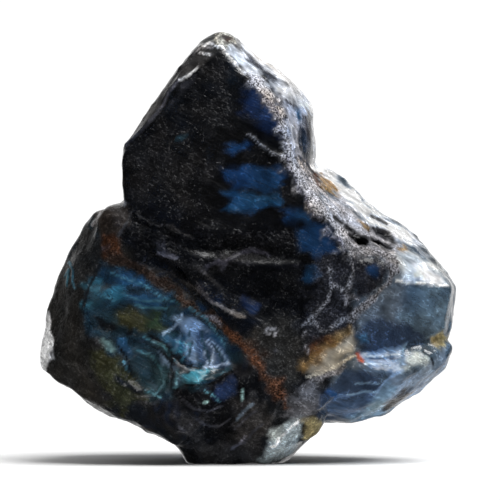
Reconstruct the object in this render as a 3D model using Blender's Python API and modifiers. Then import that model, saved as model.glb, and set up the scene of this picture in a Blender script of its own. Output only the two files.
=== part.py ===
"""A rough sapphire, one broken crystal standing on a small flat spot.

The stone is shaped in millimetres and scaled to metres at the end. X runs to the right, Z up, and
the side that faces the viewer is -Y. The origin is at the middle of the flat spot it rests on.
Convex blocks, one for each mass of the broken crystal, are joined, then shell-like breaks are cut
out of them, the edges are worn and the crusted crests are roughened.
"""

import math

import bmesh
import bpy
from mathutils import Euler, Matrix, Vector, noise

MM = 0.001

# How fine the skin is while its edges are worn, and how many of its faces are kept.
SKIN_GRAIN = 0.06
WORN_PASSES = 2
FACES_KEPT = 9000

# Relief of the broken ground: slow waves, then shell-like hollows of two sizes.
WAVE_SIZE = 0.9
WAVE_HEIGHT = 0.07
WAVE_ON_FACES = 0.3
SCALLOP_SIZE = 1.00
SCALLOP_DEPTH = 0.12
FINE_SCALLOP_SIZE = 0.42
FINE_SCALLOP_DEPTH = 0.035
SCALLOP_WARP = 0.4
SCALLOP_MEAN = 0.22
WARP_SHIFTS = (9.3, 31.7, 57.1)

# Relief of the crust, which fades out this far from its crests.
CRUST_REACH = 0.34
CRUST_GRAIN = 0.20
CRUST_HEIGHT = 0.06
CRUST_RISE = 0.4

# The crests that carry a grey crust, from the top down.
CREST = [
    (0.00, -1.70, 8.20), (0.50, -1.85, 7.40), (1.05, -1.90, 6.60), (1.20, -2.10, 5.90),
    (1.60, -2.30, 5.10), (2.10, -2.50, 4.40), (2.20, -2.55, 3.90), (1.90, -2.50, 3.10),
    (1.60, -2.45, 2.30), (1.40, -2.35, 1.50),
]

# The smooth crystal faces: a middle and how far each reaches.
CRYSTAL_FACES = [
    ((-0.50, -2.20, 6.40), 2.10), ((0.60, -2.50, 5.00), 1.20), ((3.70, -1.60, 3.00), 1.10),
    ((3.70, -0.60, 4.00), 0.90), ((2.90, -1.60, 1.50), 0.80),
]
FACE_RIM = 0.33

STONE_BLUE = (0.012, 0.035, 0.075, 1.0)
STONE_ROUGHNESS = 0.25
CORUNDUM_IOR = 1.77

# Each block is the hull of the corners of its facets, as (x, y, z).
BLOCKS = {
    "core": [
        # front, hidden behind the other blocks
        (-1.30, -1.80, 5.20), (0.90, -1.80, 5.40), (-2.30, -1.80, 2.20), (1.60, -1.80, 1.40),
        # left and right sides
        (-2.60, -1.30, 4.50), (-2.56, 1.20, 4.50), (-2.90, -1.00, 1.80), (-2.90, 1.40, 2.00),
        (2.30, -1.30, 4.60), (2.30, 1.00, 4.80), (2.90, -0.80, 1.60), (2.80, 1.30, 2.00),
        # top
        (-0.60, 0.90, 7.50), (0.80, 0.80, 7.20), (0.10, -0.60, 7.80), (-1.70, -0.60, 5.90),
        # back
        (-0.10, 2.60, 3.00), (-0.70, 2.40, 4.60), (1.50, 2.20, 3.80), (-1.70, 2.20, 1.20),
        (0.80, 1.90, 0.80), (-2.30, 2.10, 3.60), (1.00, 1.60, 5.90), (2.00, 1.60, 1.30),
    ],
    "dark_crystal": [
        # the big dark face
        (-0.24, -1.90, 8.14), (0.32, -2.02, 7.54), (0.72, -2.13, 6.96), (0.94, -2.20, 6.60),
        (1.04, -2.33, 5.90), (0.98, -2.56, 4.70), (0.00, -2.62, 4.40), (-0.78, -2.62, 4.44),
        (-1.48, -2.50, 4.68), (-2.12, -2.16, 5.06), (-2.20, -2.02, 5.50), (-2.21, -1.96, 5.86),
        (-2.12, -1.94, 6.14), (-1.70, -1.94, 6.66), (-1.02, -1.88, 7.56), (-0.44, -1.80, 8.02),
        # its thin bevel down the upper left
        (-0.76, -1.45, 8.18), (-1.10, -1.45, 7.72), (-1.50, -1.48, 7.18), (-1.88, -1.55, 6.66),
        (-2.14, -1.70, 6.24),
        # its left side, which falls away behind the face
        (-2.02, -0.60, 6.10), (-2.08, -0.60, 5.40),
        # its top
        (-0.58, -1.00, 8.36), (-0.24, -0.95, 8.50), (-0.04, -1.10, 8.44),
        # its back
        (-0.60, 0.40, 7.80), (-1.40, 0.90, 6.50), (-1.80, 1.20, 5.30), (0.60, 0.90, 7.20),
        (-0.10, 0.30, 8.00), (0.30, 0.50, 7.70),
    ],
    "dome": [
        (-0.24, -1.80, 8.14), (0.32, -1.96, 7.54), (0.94, -2.10, 6.60), (1.04, -2.20, 5.90),
        (0.08, -1.40, 8.20), (0.78, -1.30, 7.68), (1.14, -1.20, 7.40), (1.34, -1.15, 6.90),
        (1.42, -1.20, 6.20), (1.26, -1.65, 5.90),
        (0.32, -0.35, 8.20), (0.72, -0.20, 7.84), (1.16, -0.30, 7.54), (1.42, -0.30, 7.30),
        (1.58, -0.30, 6.96), (1.58, -0.30, 6.40), (1.62, -0.40, 5.96),
        (-0.20, 0.60, 7.90), (1.00, 0.80, 7.30), (1.38, 0.80, 6.60), (1.30, 1.20, 5.80),
    ],
    "shoulder": [
        (-0.68, -2.40, 5.20), (1.04, -2.36, 5.90), (1.30, -2.48, 5.30), (1.58, -2.58, 4.84),
        (2.02, -2.66, 4.34), (2.30, -2.64, 4.06), (2.02, -2.50, 3.40), (1.52, -2.45, 2.60),
        (0.32, -2.60, 2.50), (-0.68, -2.60, 3.40), (-1.30, -2.50, 4.00), (-1.76, -2.35, 4.60),
        (1.50, -1.50, 5.70), (1.80, -1.40, 5.20), (2.20, -1.36, 4.74), (2.66, -1.40, 4.36),
        (1.40, -0.60, 6.10), (1.40, 0.60, 6.10), (2.40, 1.20, 4.00), (1.00, 1.50, 2.50),
    ],
    "teal_body": [
        # left silhouette
        (-2.74, -1.30, 4.94), (-3.00, -1.20, 4.68), (-3.30, -1.10, 4.16), (-3.60, -1.10, 3.44),
        (-3.70, -1.10, 3.10), (-3.68, -1.10, 2.60), (-3.80, -1.30, 1.86), (-3.12, -1.80, 1.40),
        (-1.96, -2.10, 0.86), (-1.06, -2.00, 0.38),
        # front
        (-2.60, -1.90, 4.76), (-2.78, -2.10, 3.96), (-2.92, -2.25, 3.20), (-2.78, -2.45, 2.50),
        (-2.60, -2.45, 1.76), (-2.44, -2.20, 1.20), (-1.78, -2.24, 4.00), (-0.58, -2.34, 3.40),
        (0.42, -2.40, 2.56), (0.20, -2.64, 2.00), (-0.18, -2.66, 1.50), (-1.28, -2.62, 1.20),
        (-0.98, -2.30, 0.60), (-2.08, -1.80, 5.06),
        # back
        (-2.30, 0.90, 4.70), (-1.80, 0.90, 5.10), (-3.10, 0.90, 3.80), (-2.30, 2.10, 3.90),
        (-3.20, 1.50, 2.60), (-2.90, 1.10, 1.60), (-1.88, 1.80, 0.90), (-0.88, 1.30, 0.30),
        (-2.40, 2.40, 2.40),
    ],
    "brown_lump": [
        (-2.50, -1.50, 5.04), (-2.16, -1.40, 5.12), (-2.66, -1.90, 4.80), (-2.40, -2.06, 5.00),
        (-2.00, -2.16, 4.96), (-2.20, -2.32, 4.66), (-2.56, -2.20, 4.10), (-1.80, -2.36, 3.90),
        (-1.40, -2.36, 4.30), (-1.60, -2.10, 4.80), (-1.60, -1.00, 4.40), (-2.60, -1.40, 4.20),
    ],
    "middle": [
        (0.40, -2.44, 4.00), (2.20, -2.42, 3.70), (2.32, -2.36, 2.50), (2.26, -2.20, 1.60),
        (1.60, -2.24, 1.10), (0.90, -2.50, 1.50), (0.00, -2.56, 2.30), (-0.60, -2.36, 3.30),
        (0.40, 0.60, 4.00), (2.20, 0.60, 3.70), (1.90, 0.60, 1.30), (-0.60, 0.60, 1.80),
    ],
    "foot": [
        (0.12, -2.60, 2.30), (-0.88, -2.60, 1.60), (0.56, -2.55, 1.60), (1.32, -2.38, 1.90),
        (1.52, -2.10, 1.20), (0.92, -1.95, 0.44), (0.56, -1.80, 0.14), (-0.68, -1.76, 0.14),
        (-0.98, -1.60, 0.26), (1.26, -0.90, 0.30), (1.60, -1.10, 0.56), (1.74, -1.20, 0.84),
        (1.52, 1.30, 0.80), (-1.08, 1.60, 0.40), (1.32, 1.90, 2.20), (-0.60, 2.00, 0.90),
        (-1.70, 1.90, 1.20), (2.20, 1.50, 1.60),
        # below the rest spot, where the foot is cut off flat
        (-0.64, -1.20, -0.24), (0.60, -1.24, -0.24), (0.74, -0.80, -0.24), (-0.70, -0.60, -0.24),
        (-0.68, 0.80, -0.24), (-0.30, 1.10, -0.24), (0.54, 1.02, -0.24), (0.72, 0.60, -0.24),
    ],
    "nub": [
        (1.30, -1.96, 0.90), (1.66, -1.96, 0.88), (1.80, -1.60, 0.80), (1.66, -1.50, 0.58),
        (1.34, -1.70, 0.46), (1.20, -1.00, 0.60), (1.90, -1.30, 1.10), (1.60, -2.10, 1.20),
    ],
    "wing": [
        # back crest
        (1.82, 0.30, 5.84), (2.26, 0.50, 5.46), (2.82, 0.60, 5.00), (3.34, 0.60, 4.76),
        (3.68, 0.50, 4.50), (3.90, 0.30, 4.10), (4.16, 0.00, 3.80), (4.46, -0.30, 3.42),
        (4.48, -0.30, 3.16), (4.38, -0.40, 2.70), (4.24, -0.40, 2.44),
        # front
        (2.28, -2.60, 4.06), (3.04, -2.28, 3.90), (3.20, -2.24, 3.60), (4.28, -1.30, 3.50),
        (4.12, -1.20, 2.56), (3.32, -1.66, 2.36), (2.30, -2.20, 2.30), (2.14, -2.46, 3.20),
        (1.60, -1.10, 5.60), (1.90, -1.30, 5.12), (2.26, -1.30, 4.72), (2.76, -1.36, 4.40),
        # back
        (1.60, 1.20, 5.30), (3.00, 1.30, 4.20), (3.80, 0.80, 3.20), (3.70, 0.70, 2.30),
        (2.80, 1.30, 2.20), (1.80, 1.90, 3.20),
    ],
    "lower_lobe": [
        # its ledge, then its front and its underside
        (2.30, -2.10, 2.30), (3.32, -1.50, 2.34), (4.12, -1.00, 2.46),
        (2.30, -2.40, 1.86), (3.32, -2.10, 1.74), (4.04, -1.40, 2.16), (4.30, -0.80, 2.28),
        (4.20, -0.60, 1.82), (3.70, -0.60, 1.34), (3.04, -0.80, 1.02), (2.36, -0.90, 0.80),
        (1.82, -1.10, 0.86), (1.72, -2.10, 1.36), (2.22, -1.90, 1.16), (3.12, -1.60, 1.30),
        (4.00, 0.50, 2.30), (3.20, 0.90, 1.30), (1.70, 1.30, 0.80), (1.60, 1.70, 1.60),
        (2.70, 1.40, 2.30),
    ],
    "left_flake": [
        (-3.64, -0.90, 2.86), (-3.84, -0.80, 2.08), (-3.76, -0.80, 1.90), (-3.60, -1.10, 2.80),
        (-3.70, -1.20, 2.10), (-3.40, -0.40, 2.60), (-3.40, -0.40, 1.90),
    ],
}

# Shell-like breaks, each an ellipsoid: centre, half-sizes, then its turn in degrees.
BREAKS = {
    "undercut": ((-0.20, -3.40, 4.20), (2.60, 1.00, 0.44), (0, 6, 0)),
    "dark_shell": ((0.40, -4.00, 3.36), (2.60, 1.60, 1.20), (0, 28, 0)),
    "teal_shell": ((-0.66, -3.66, 2.46), (1.50, 1.34, 1.10), (0, 36, 0)),
    "teal_hollow": ((-2.00, -3.54, 3.16), (1.60, 1.30, 0.80), (0, 16, 0)),
    "olive_shell": ((-1.86, -3.80, 2.00), (1.30, 1.50, 1.30), (0, 20, 0)),
    "navy_shell": ((-0.06, -3.70, 1.40), (1.30, 1.26, 0.70), (0, -8, 0)),
    "left_shell": ((-4.30, -2.60, 3.90), (1.00, 1.80, 1.20), (0, 16, 0)),
    "left_low_shell": ((-3.90, -2.90, 1.70), (1.20, 1.20, 0.90), (0, -30, 0)),
    "foot_shell": ((0.10, -4.30, -0.10), (2.60, 2.60, 1.60), (0, 0, 0)),
    "wing_crest_shell": ((2.95, 0.40, 5.48), (1.00, 2.40, 0.50), (0, 38, 0)),
    "back_shell": ((-2.90, 6.30, 3.90), (5.60, 4.70, 4.20), (0, 20, 10)),
    "back_low_shell": ((1.60, 4.70, 0.40), (4.60, 3.10, 2.40), (0, -20, -8)),
    "back_wing_shell": ((3.90, 5.10, 4.60), (4.60, 4.30, 3.20), (0, 30, 0)),
    "head_back_shell": ((0.50, 4.75, 7.10), (4.40, 4.30, 3.30), (0, 10, 0)),
    "left_back_shell": ((-5.20, 4.20, 2.20), (3.40, 3.60, 3.60), (0, 0, 20)),
    "head_left_shell": ((-5.00, 2.20, 7.20), (3.60, 2.60, 2.60), (0, -30, 0)),
}

# Small long pits in the crust on top of the wing: centre and half-length.
PITS = [
    ((2.42, -1.90, 4.34), 0.18), ((2.62, -1.80, 4.30), 0.16), ((2.74, -1.50, 4.54), 0.14),
    ((2.90, -1.70, 4.30), 0.19), ((3.02, -1.50, 4.42), 0.15), ((2.96, -1.20, 4.62), 0.13),
]
PIT_WIDTH = 0.07
PIT_DEPTH = 0.40
PIT_SLANT = 24.0


def collection(name):
    """A new collection in the scene."""
    made = bpy.data.collections.new(name)
    bpy.context.scene.collection.children.link(made)
    return made


def add_object(name, mesh_builder, home):
    """An object with the mesh that a bmesh builds."""
    mesh = bpy.data.meshes.new(name)
    mesh_builder.to_mesh(mesh)
    mesh_builder.free()
    made = bpy.data.objects.new(name, mesh)
    home.objects.link(made)
    return made


def hide_as_tool(tool):
    """Keep a block or a cutter out of the model, as a wire guide."""
    tool.hide_render = True
    tool.display_type = "WIRE"


def hull_block(name, corners, home):
    """The convex block that has these corners."""
    shape = bmesh.new()
    for corner in corners:
        shape.verts.new(corner)
    hull = bmesh.ops.convex_hull(shape, input=shape.verts)
    inside = [part for part in hull["geom_interior"] if isinstance(part, bmesh.types.BMVert)]
    bmesh.ops.delete(shape, geom=inside, context="VERTS")
    bmesh.ops.recalc_face_normals(shape, faces=shape.faces)
    block = add_object(name, shape, home)
    hide_as_tool(block)
    return block


def break_cutter(name, centre, half_sizes, turn, home):
    """The ellipsoid that leaves one shell-like break."""
    shape = bmesh.new()
    bmesh.ops.create_icosphere(shape, subdivisions=4, radius=1.0)
    turned = Euler([math.radians(angle) for angle in turn]).to_matrix().to_4x4()
    placed = Matrix.Translation(centre) @ turned @ Matrix.Diagonal((*half_sizes, 1.0))
    bmesh.ops.transform(shape, matrix=placed, verts=shape.verts)
    cutter = add_object(name, shape, home)
    hide_as_tool(cutter)
    return cutter


def pit_cutter(number, centre, half_length, home):
    """The slanting cutter of one long pit."""
    half_sizes = (half_length, PIT_DEPTH, PIT_WIDTH)
    return break_cutter("pit_%d" % number, centre, half_sizes, (0, PIT_SLANT, 0), home)


def boolean(stone, tool, operation):
    """Join a block to the stone, or cut a break out of it."""
    step = stone.modifiers.new(tool.name, "BOOLEAN")
    step.operation = operation
    step.solver = "EXACT"
    step.object = tool


def apply_modifiers(stone):
    """Keep the shape that the modifiers make as the stone's own mesh."""
    graph = bpy.context.evaluated_depsgraph_get()
    shaped = bpy.data.meshes.new_from_object(stone.evaluated_get(graph))
    stone.modifiers.clear()
    stone.data = shaped


def wear_edges(stone):
    """Turn the joined blocks into one even skin with its edges slightly worn."""
    skin = stone.modifiers.new("skin", "REMESH")
    skin.mode = "VOXEL"
    skin.voxel_size = SKIN_GRAIN
    worn = stone.modifiers.new("worn", "SMOOTH")
    worn.factor = 0.5
    worn.iterations = WORN_PASSES
    apply_modifiers(stone)


def near_line(point, line):
    """The distance from a point to a line of straight stretches."""
    nearest = math.inf
    for start, end in zip(line, line[1:]):
        along = (point - start).dot(end - start) / (end - start).length_squared
        foot = start.lerp(end, min(1.0, max(0.0, along)))
        nearest = min(nearest, (point - foot).length)
    return nearest


def polish(point):
    """How smooth the surface is: 1 on the crystal faces, 0 on broken ground."""
    smooth = 0.0
    for centre, reach in CRYSTAL_FACES:
        smooth = max(smooth, 1.0 - (point - Vector(centre)).length / reach)
    return min(1.0, smooth / FACE_RIM)


def scallop(point, size):
    """Small shell-like hollows with sharp ridges between them, as a rough break leaves."""
    even = point / size
    warp = Vector([noise.noise(even + Vector((shift, 0, 0))) for shift in WARP_SHIFTS])
    return noise.voronoi(even + SCALLOP_WARP * warp)[0][0] ** 2 - SCALLOP_MEAN


def roughen(stone):
    """Raise the crust along the crests and break the plain ground into small hollows."""
    crest = [Vector(place) for place in CREST]
    mesh = stone.data
    moves = []
    for vertex in mesh.vertices:
        point = vertex.co
        rough = 1.0 - polish(point)
        crust = max(0.0, 1.0 - near_line(point, crest) / CRUST_REACH)
        lift = WAVE_HEIGHT * noise.noise(point / WAVE_SIZE) * max(rough, WAVE_ON_FACES)
        lift += SCALLOP_DEPTH * scallop(point, SCALLOP_SIZE) * rough
        lift += FINE_SCALLOP_DEPTH * scallop(point, FINE_SCALLOP_SIZE) * rough
        lift += CRUST_HEIGHT * crust * (CRUST_RISE + noise.noise(point / CRUST_GRAIN))
        moves.append(vertex.normal * lift)
    for vertex, move in zip(mesh.vertices, moves):
        vertex.co += move


def keep_few_faces(stone):
    """Drop the faces that flat ground doesn't need."""
    fewer = stone.modifiers.new("fewer", "DECIMATE")
    triangles = sum(len(face.vertices) - 2 for face in stone.data.polygons)
    fewer.ratio = FACES_KEPT / triangles
    apply_modifiers(stone)


def connected(start):
    """The vertices that edges join to this one."""
    found = {start}
    waiting = [start]
    while waiting:
        vertex = waiting.pop()
        beside = {edge.other_vert(vertex) for edge in vertex.link_edges} - found
        found |= beside
        waiting += beside
    return found


def drop_specks(stone):
    """Delete the specks that cutting leaves beside the stone."""
    shape = bmesh.new()
    shape.from_mesh(stone.data)
    topmost = max(shape.verts, key=lambda vertex: vertex.co.z)
    kept = connected(topmost)
    specks = [vertex for vertex in shape.verts if vertex not in kept]
    bmesh.ops.delete(shape, geom=specks, context="VERTS")
    shape.to_mesh(stone.data)
    shape.free()


def cut_rest_spot(stone):
    """Cut the small flat spot that the stone rests on."""
    shape = bmesh.new()
    shape.from_mesh(stone.data)
    everything = shape.verts[:] + shape.edges[:] + shape.faces[:]
    cut = bmesh.ops.bisect_plane(
        shape, geom=everything, dist=1e-5, plane_co=(0, 0, 0), plane_no=(0, 0, 1), clear_inner=True
    )
    rim = [part for part in cut["geom_cut"] if isinstance(part, bmesh.types.BMEdge)]
    bmesh.ops.contextual_create(shape, geom=rim)
    bmesh.ops.recalc_face_normals(shape, faces=shape.faces)
    shape.to_mesh(stone.data)
    shape.free()


def stone_material():
    """Dark blue, glassy corundum."""
    finish = bpy.data.materials.new("sapphire")
    finish.use_nodes = True
    shader = finish.node_tree.nodes["Principled BSDF"]
    shader.inputs["Base Color"].default_value = STONE_BLUE
    shader.inputs["Roughness"].default_value = STONE_ROUGHNESS
    shader.inputs["Metallic"].default_value = 0.0
    shader.inputs["IOR"].default_value = CORUNDUM_IOR
    finish.diffuse_color = STONE_BLUE
    return finish


def main():
    for old in list(bpy.data.objects):
        bpy.data.objects.remove(old)
    home = collection("rough_sapphire")
    tools = collection("cutters")
    blocks = [hull_block(name + "_block", corners, tools) for name, corners in BLOCKS.items()]
    cutters = [break_cutter(name, *place, tools) for name, place in BREAKS.items()]
    pits = [pit_cutter(number, *place, tools) for number, place in enumerate(PITS, 1)]
    stone = bpy.data.objects.new("sapphire", blocks[0].data.copy())
    home.objects.link(stone)
    for block in blocks[1:]:
        boolean(stone, block, "UNION")
    for cutter in cutters + pits:
        boolean(stone, cutter, "DIFFERENCE")
    apply_modifiers(stone)
    wear_edges(stone)
    drop_specks(stone)
    roughen(stone)
    keep_few_faces(stone)
    cut_rest_spot(stone)
    for shaped in [stone] + blocks + cutters + pits:
        shaped.data.transform(Matrix.Scale(MM, 4))
    stone.data.materials.clear()
    stone.data.materials.append(stone_material())


main()
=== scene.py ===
"""Looks of the rough sapphire: the fine surface, the mineral colours, the light and the camera.

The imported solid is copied, remeshed fine and given the small forms that the solid leaves out.
Lengths are in millimetres while the stone is worked on, and the finished mesh is put back in metres.
Places on the side that the photograph shows are given in its pixels, as (across, down).
"""

import math
from itertools import product

import bpy
import numpy as np
from mathutils import Matrix, Vector


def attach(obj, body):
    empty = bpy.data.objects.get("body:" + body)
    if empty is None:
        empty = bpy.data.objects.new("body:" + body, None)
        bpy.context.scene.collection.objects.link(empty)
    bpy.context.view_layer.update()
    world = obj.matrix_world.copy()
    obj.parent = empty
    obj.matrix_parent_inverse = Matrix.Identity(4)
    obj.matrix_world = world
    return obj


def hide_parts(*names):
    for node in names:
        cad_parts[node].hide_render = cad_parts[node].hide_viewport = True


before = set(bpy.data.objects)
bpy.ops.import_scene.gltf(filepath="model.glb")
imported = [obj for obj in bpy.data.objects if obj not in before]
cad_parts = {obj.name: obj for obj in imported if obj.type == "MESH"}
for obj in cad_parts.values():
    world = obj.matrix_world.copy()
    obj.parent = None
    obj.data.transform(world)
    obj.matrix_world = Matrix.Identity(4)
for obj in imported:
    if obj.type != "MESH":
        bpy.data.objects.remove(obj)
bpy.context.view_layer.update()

MM = 0.001

# Photograph, seen along +Y: its width and scale in pixels, and where the origin falls in it.
PHOTO_PIXELS = 500.0
PIXELS_PER_MM = 50.0
PIXEL_OF_MIDDLE = 234.0
PIXEL_OF_FLOOR = 460.0
PHOTO_WIDTH_MM = PHOTO_PIXELS / PIXELS_PER_MM
PHOTO_CENTRE_MM = ((PHOTO_PIXELS / 2 - PIXEL_OF_MIDDLE) / PIXELS_PER_MM,
                   (PIXEL_OF_FLOOR - PHOTO_PIXELS / 2) / PIXELS_PER_MM)

# Mesh
GRAIN_MM = 0.049
SMOOTHING_ROUNDS = 3
LEVELLING_ROUNDS = 120
CREASE_DEGREES = 32

# Broken relief on every side, in mm: size of a scoop, its height, and a number that sets its noise.
# The warp, with its size and reach, bends the scoops so that no two are alike.
SCOOPS = ((0.62, 0.10, 20), (0.27, 0.035, 30), (0.13, 0.014, 35))
SCOOP_MIDDLE = 0.2
BROKEN_WARP = (0.5, 0.35)
GRAIN_SIZE_MM = 0.3
GRAIN_HEIGHT_MM = 0.02
FAN_HEIGHT_MM = 0.015

# How ragged noise makes the edges. A line with more crust than the last number wanders with its place.
WINDOW_RAGGED = 0.35
PATCH_RAGGED = 0.65
LINE_RAGGED = 0.1
CRUST_RAGGED = 0.18
STEADY_SHIFT = 0.35
WANDERING_CRUST = 0.3

# Depth along +Y, in mm: up to where every face has the painting of the front, and where that fades out.
NEAR_MM = (-1.4, -0.4)
FADE_MM = (0.6, 1.3)

# Finish of the paint: fan cover, wear and painted highlight on ridges, painted shade on sides, warm and
# cool places.
FAN_COVER = 0.85
WORN_AND_HIGHLIGHT_COVER = 0.25
SIDE_SHADE = 0.5
WARMTH = (0.13, 0.03, -0.10)

# Noise
HASH_FACTORS = (374761393, 668265263, 362437, 974634777)
HASH_MIXER = 1274126177

# Material. Noises have a size in mm, a detail and a stretch along the streaks.
STREAK_TILT = math.radians(28)
FINE_NOISE = (0.035, 2.0)
GRAIN_NOISE = (0.075, 3.0)
SLOW_NOISE = (0.30, 4.0)
STREAK_NOISE = (0.06, 3.0, (7.0, 3.0, 1.0))
CRINKLE_NOISE = (0.14, 3.0, (3.5, 2.0, 1.0))
SKIN_ROUGHNESS = (0.20, 0.34)
CLEAR_ROUGHNESS = 0.12
CRUST_ROUGHNESS = 0.65
REFRACTIVE_INDEX = 1.77
GLOSS = 0.07
BUMP_MM = 0.05
BUMP_STRENGTH = 0.5
ABSORPTION_COLOUR = (0.05, 0.50, 0.75, 1)
ABSORPTION_DENSITY = 700.0

# Studio: lengths in metres unless named, light power in watts, strengths from and to.
LENS_MM = 300.0
SENSOR_MM = 36.0
FLOOR_RADIUS = 0.013
STONE_MIDDLE = (0, 0, 0.0042)
OVERHEAD_PLACE = (0.05, -0.035, 0.14)
OVERHEAD_SIZE = 0.12
OVERHEAD_POWER = 0.34
LIGHT_BEHIND = (0.03, 1.2)
LIGHT_ABOVE = (0.0, 0.6)
SEEN_WHITE = 1.1

# Colours as they look in the studio light, linear. There a face looks only about half as bright as
# its paint, so the paint is made this much lighter.
PAINT_GAIN = 1.8
BLACK = (0.002, 0.0022, 0.003)
DARK = (0.0042, 0.0045, 0.0056)
SMOKE = (0.014, 0.0135, 0.014)
DUSK = (0.020, 0.021, 0.027)
NAVY = (0.007, 0.017, 0.052)
ROYAL = (0.006, 0.026, 0.075)
DEEP_BLUE = (0.006, 0.014, 0.034)
DEEP_TEAL = (0.007, 0.033, 0.078)
LILAC = (0.055, 0.055, 0.070)
CRUST_PALE = (0.165, 0.165, 0.18)
CREST_GREY = (0.165, 0.162, 0.172)
PALE_GREY = (0.48, 0.49, 0.52)
DOME_GREY = (0.40, 0.43, 0.52)
WHITE = (0.66, 0.68, 0.73)
TEAL = (0.011, 0.028, 0.041)
BLUE = (0.014, 0.050, 0.100)
TURQUOISE = (0.022, 0.095, 0.140)
BRIGHT_TURQUOISE = (0.030, 0.15, 0.21)
MINT = (0.12, 0.20, 0.20)
OLIVE = (0.015, 0.0155, 0.007)
GREEN = (0.012, 0.026, 0.015)
RIB = (0.15, 0.20, 0.29)
SIDE_GREY = (0.11, 0.135, 0.17)
FOOT_ICE = (0.20, 0.235, 0.25)
BACK_BLUE = (0.020, 0.065, 0.130)
BAND_GREY = (0.33, 0.33, 0.34)
TEAL_LINE = (0.030, 0.085, 0.115)
# Pale lilac of the painted highlights on the ledges.
LEDGE_HIGHLIGHT_LILAC = (0.019, 0.019, 0.027)
NIGHT = (0.0075, 0.0080, 0.0110)
HAZE = (0.0048, 0.0048, 0.0055)
# Grey of dust and crust, also laid as a painted highlight on a lip.
DUST_AND_GLINT_GREY = (0.060, 0.060, 0.066)
SWIRL_TEAL = (0.013, 0.031, 0.042)
SHELL = (0.10, 0.155, 0.24)
RUST = (0.029, 0.0110, 0.005)
DARK_RUST = (0.013, 0.0076, 0.0056)
OCHRE = (0.10, 0.062, 0.024)
CREAM = (0.20, 0.19, 0.165)
RED = (0.16, 0.030, 0.012)
BROWN = (0.014, 0.011, 0.0095)
FLANK = (0.010, 0.0098, 0.0095)
LOW_DARK = (0.0035, 0.0045, 0.006)
SLATE = (0.048, 0.064, 0.085)
WING_BLUE = (0.080, 0.130, 0.185)
LOBE_BLUE = (0.025, 0.044, 0.083)
LOBE_GREY = (0.095, 0.125, 0.165)
NUB_BROWN = (0.14, 0.115, 0.055)
ICE = (0.28, 0.31, 0.335)

# The masses of the stone, on every side: darker colour, lighter colour, outline.
ZONES = {
    "lower_body": (LOW_DARK, SMOKE, [(0, 180), (500, 180), (500, 500), (0, 500)]),
    "left_body": (FLANK, TEAL, [(0, 200), (108, 216), (150, 262), (215, 310), (250, 362), (196, 384),
        (150, 396), (0, 400)]),
    "wing": (SLATE, WING_BLUE, [(322, 150), (500, 200), (500, 460), (318, 440), (330, 372), (356, 330),
        (348, 250), (318, 200)]),
    "head": (BLACK, DARK, [(190, 0), (330, 20), (316, 190), (352, 248), (320, 318), (255, 345),
        (200, 300), (140, 262), (112, 205), (100, 100)]),
    "dome": (DUSK, SIDE_GREY, [(250, 20), (330, 60), (330, 190), (296, 172), (284, 110), (262, 70)]),
}

# Blue windows of the dark crystal: colour, how see-through, how granular, soft edge in pixels, outline.
# The blue of the windows is partly the stone's own colour and partly painted light shining through it.
WINDOWS = {
    "navy_window": (NAVY, 0.3, 0, 9, [(240, 98), (250, 86), (264, 92), (276, 108), (284, 128),
        (280, 142), (264, 136), (252, 122), (240, 118)]),
    "navy_depth": (BLACK, 0.1, 0, 8, [(236, 116), (252, 122), (262, 138), (280, 146), (282, 158),
        (262, 150), (240, 136)]),
    "upper_chip": (ROYAL, 0.3, 0, 6, [(224, 150), (232, 144), (248, 146), (250, 152), (232, 157)]),
    "blue_band": (ROYAL, 0.35, 0, 5, [(220, 172), (246, 168), (280, 170), (288, 178), (282, 193),
        (258, 194), (234, 191), (244, 186), (222, 179)]),
    "teal_band": (DEEP_TEAL, 0.35, 0, 5, [(222, 195), (246, 194), (279, 196), (281, 206), (258, 212),
        (242, 215), (224, 211), (230, 203)]),
    "band_shadow": (BLACK, 0.1, 0, 5, [(281, 178), (292, 180), (298, 200), (288, 206), (280, 198)]),
    "third_blue": (ROYAL, 0.3, 0, 7, [(282, 210), (304, 210), (310, 222), (288, 224)]),
    "window_blue": (ROYAL, 0.3, 0, 9, [(296, 232), (312, 224), (328, 232), (334, 250), (318, 258),
        (300, 252)]),
    "window_teal": (DEEP_TEAL, 0.35, 0, 5, [(303, 270), (312, 265), (319, 268), (314, 280),
        (305, 280)]),
    "teal_speck": (TEAL, 0.3, 0, 4, [(177, 141), (182, 139), (183, 143), (179, 145)]),
}

# The ends of the windows streak along the layers of growth: height of a streak and how far it moves.
STREAK_PIXELS = (4.4, 11.0)

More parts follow.
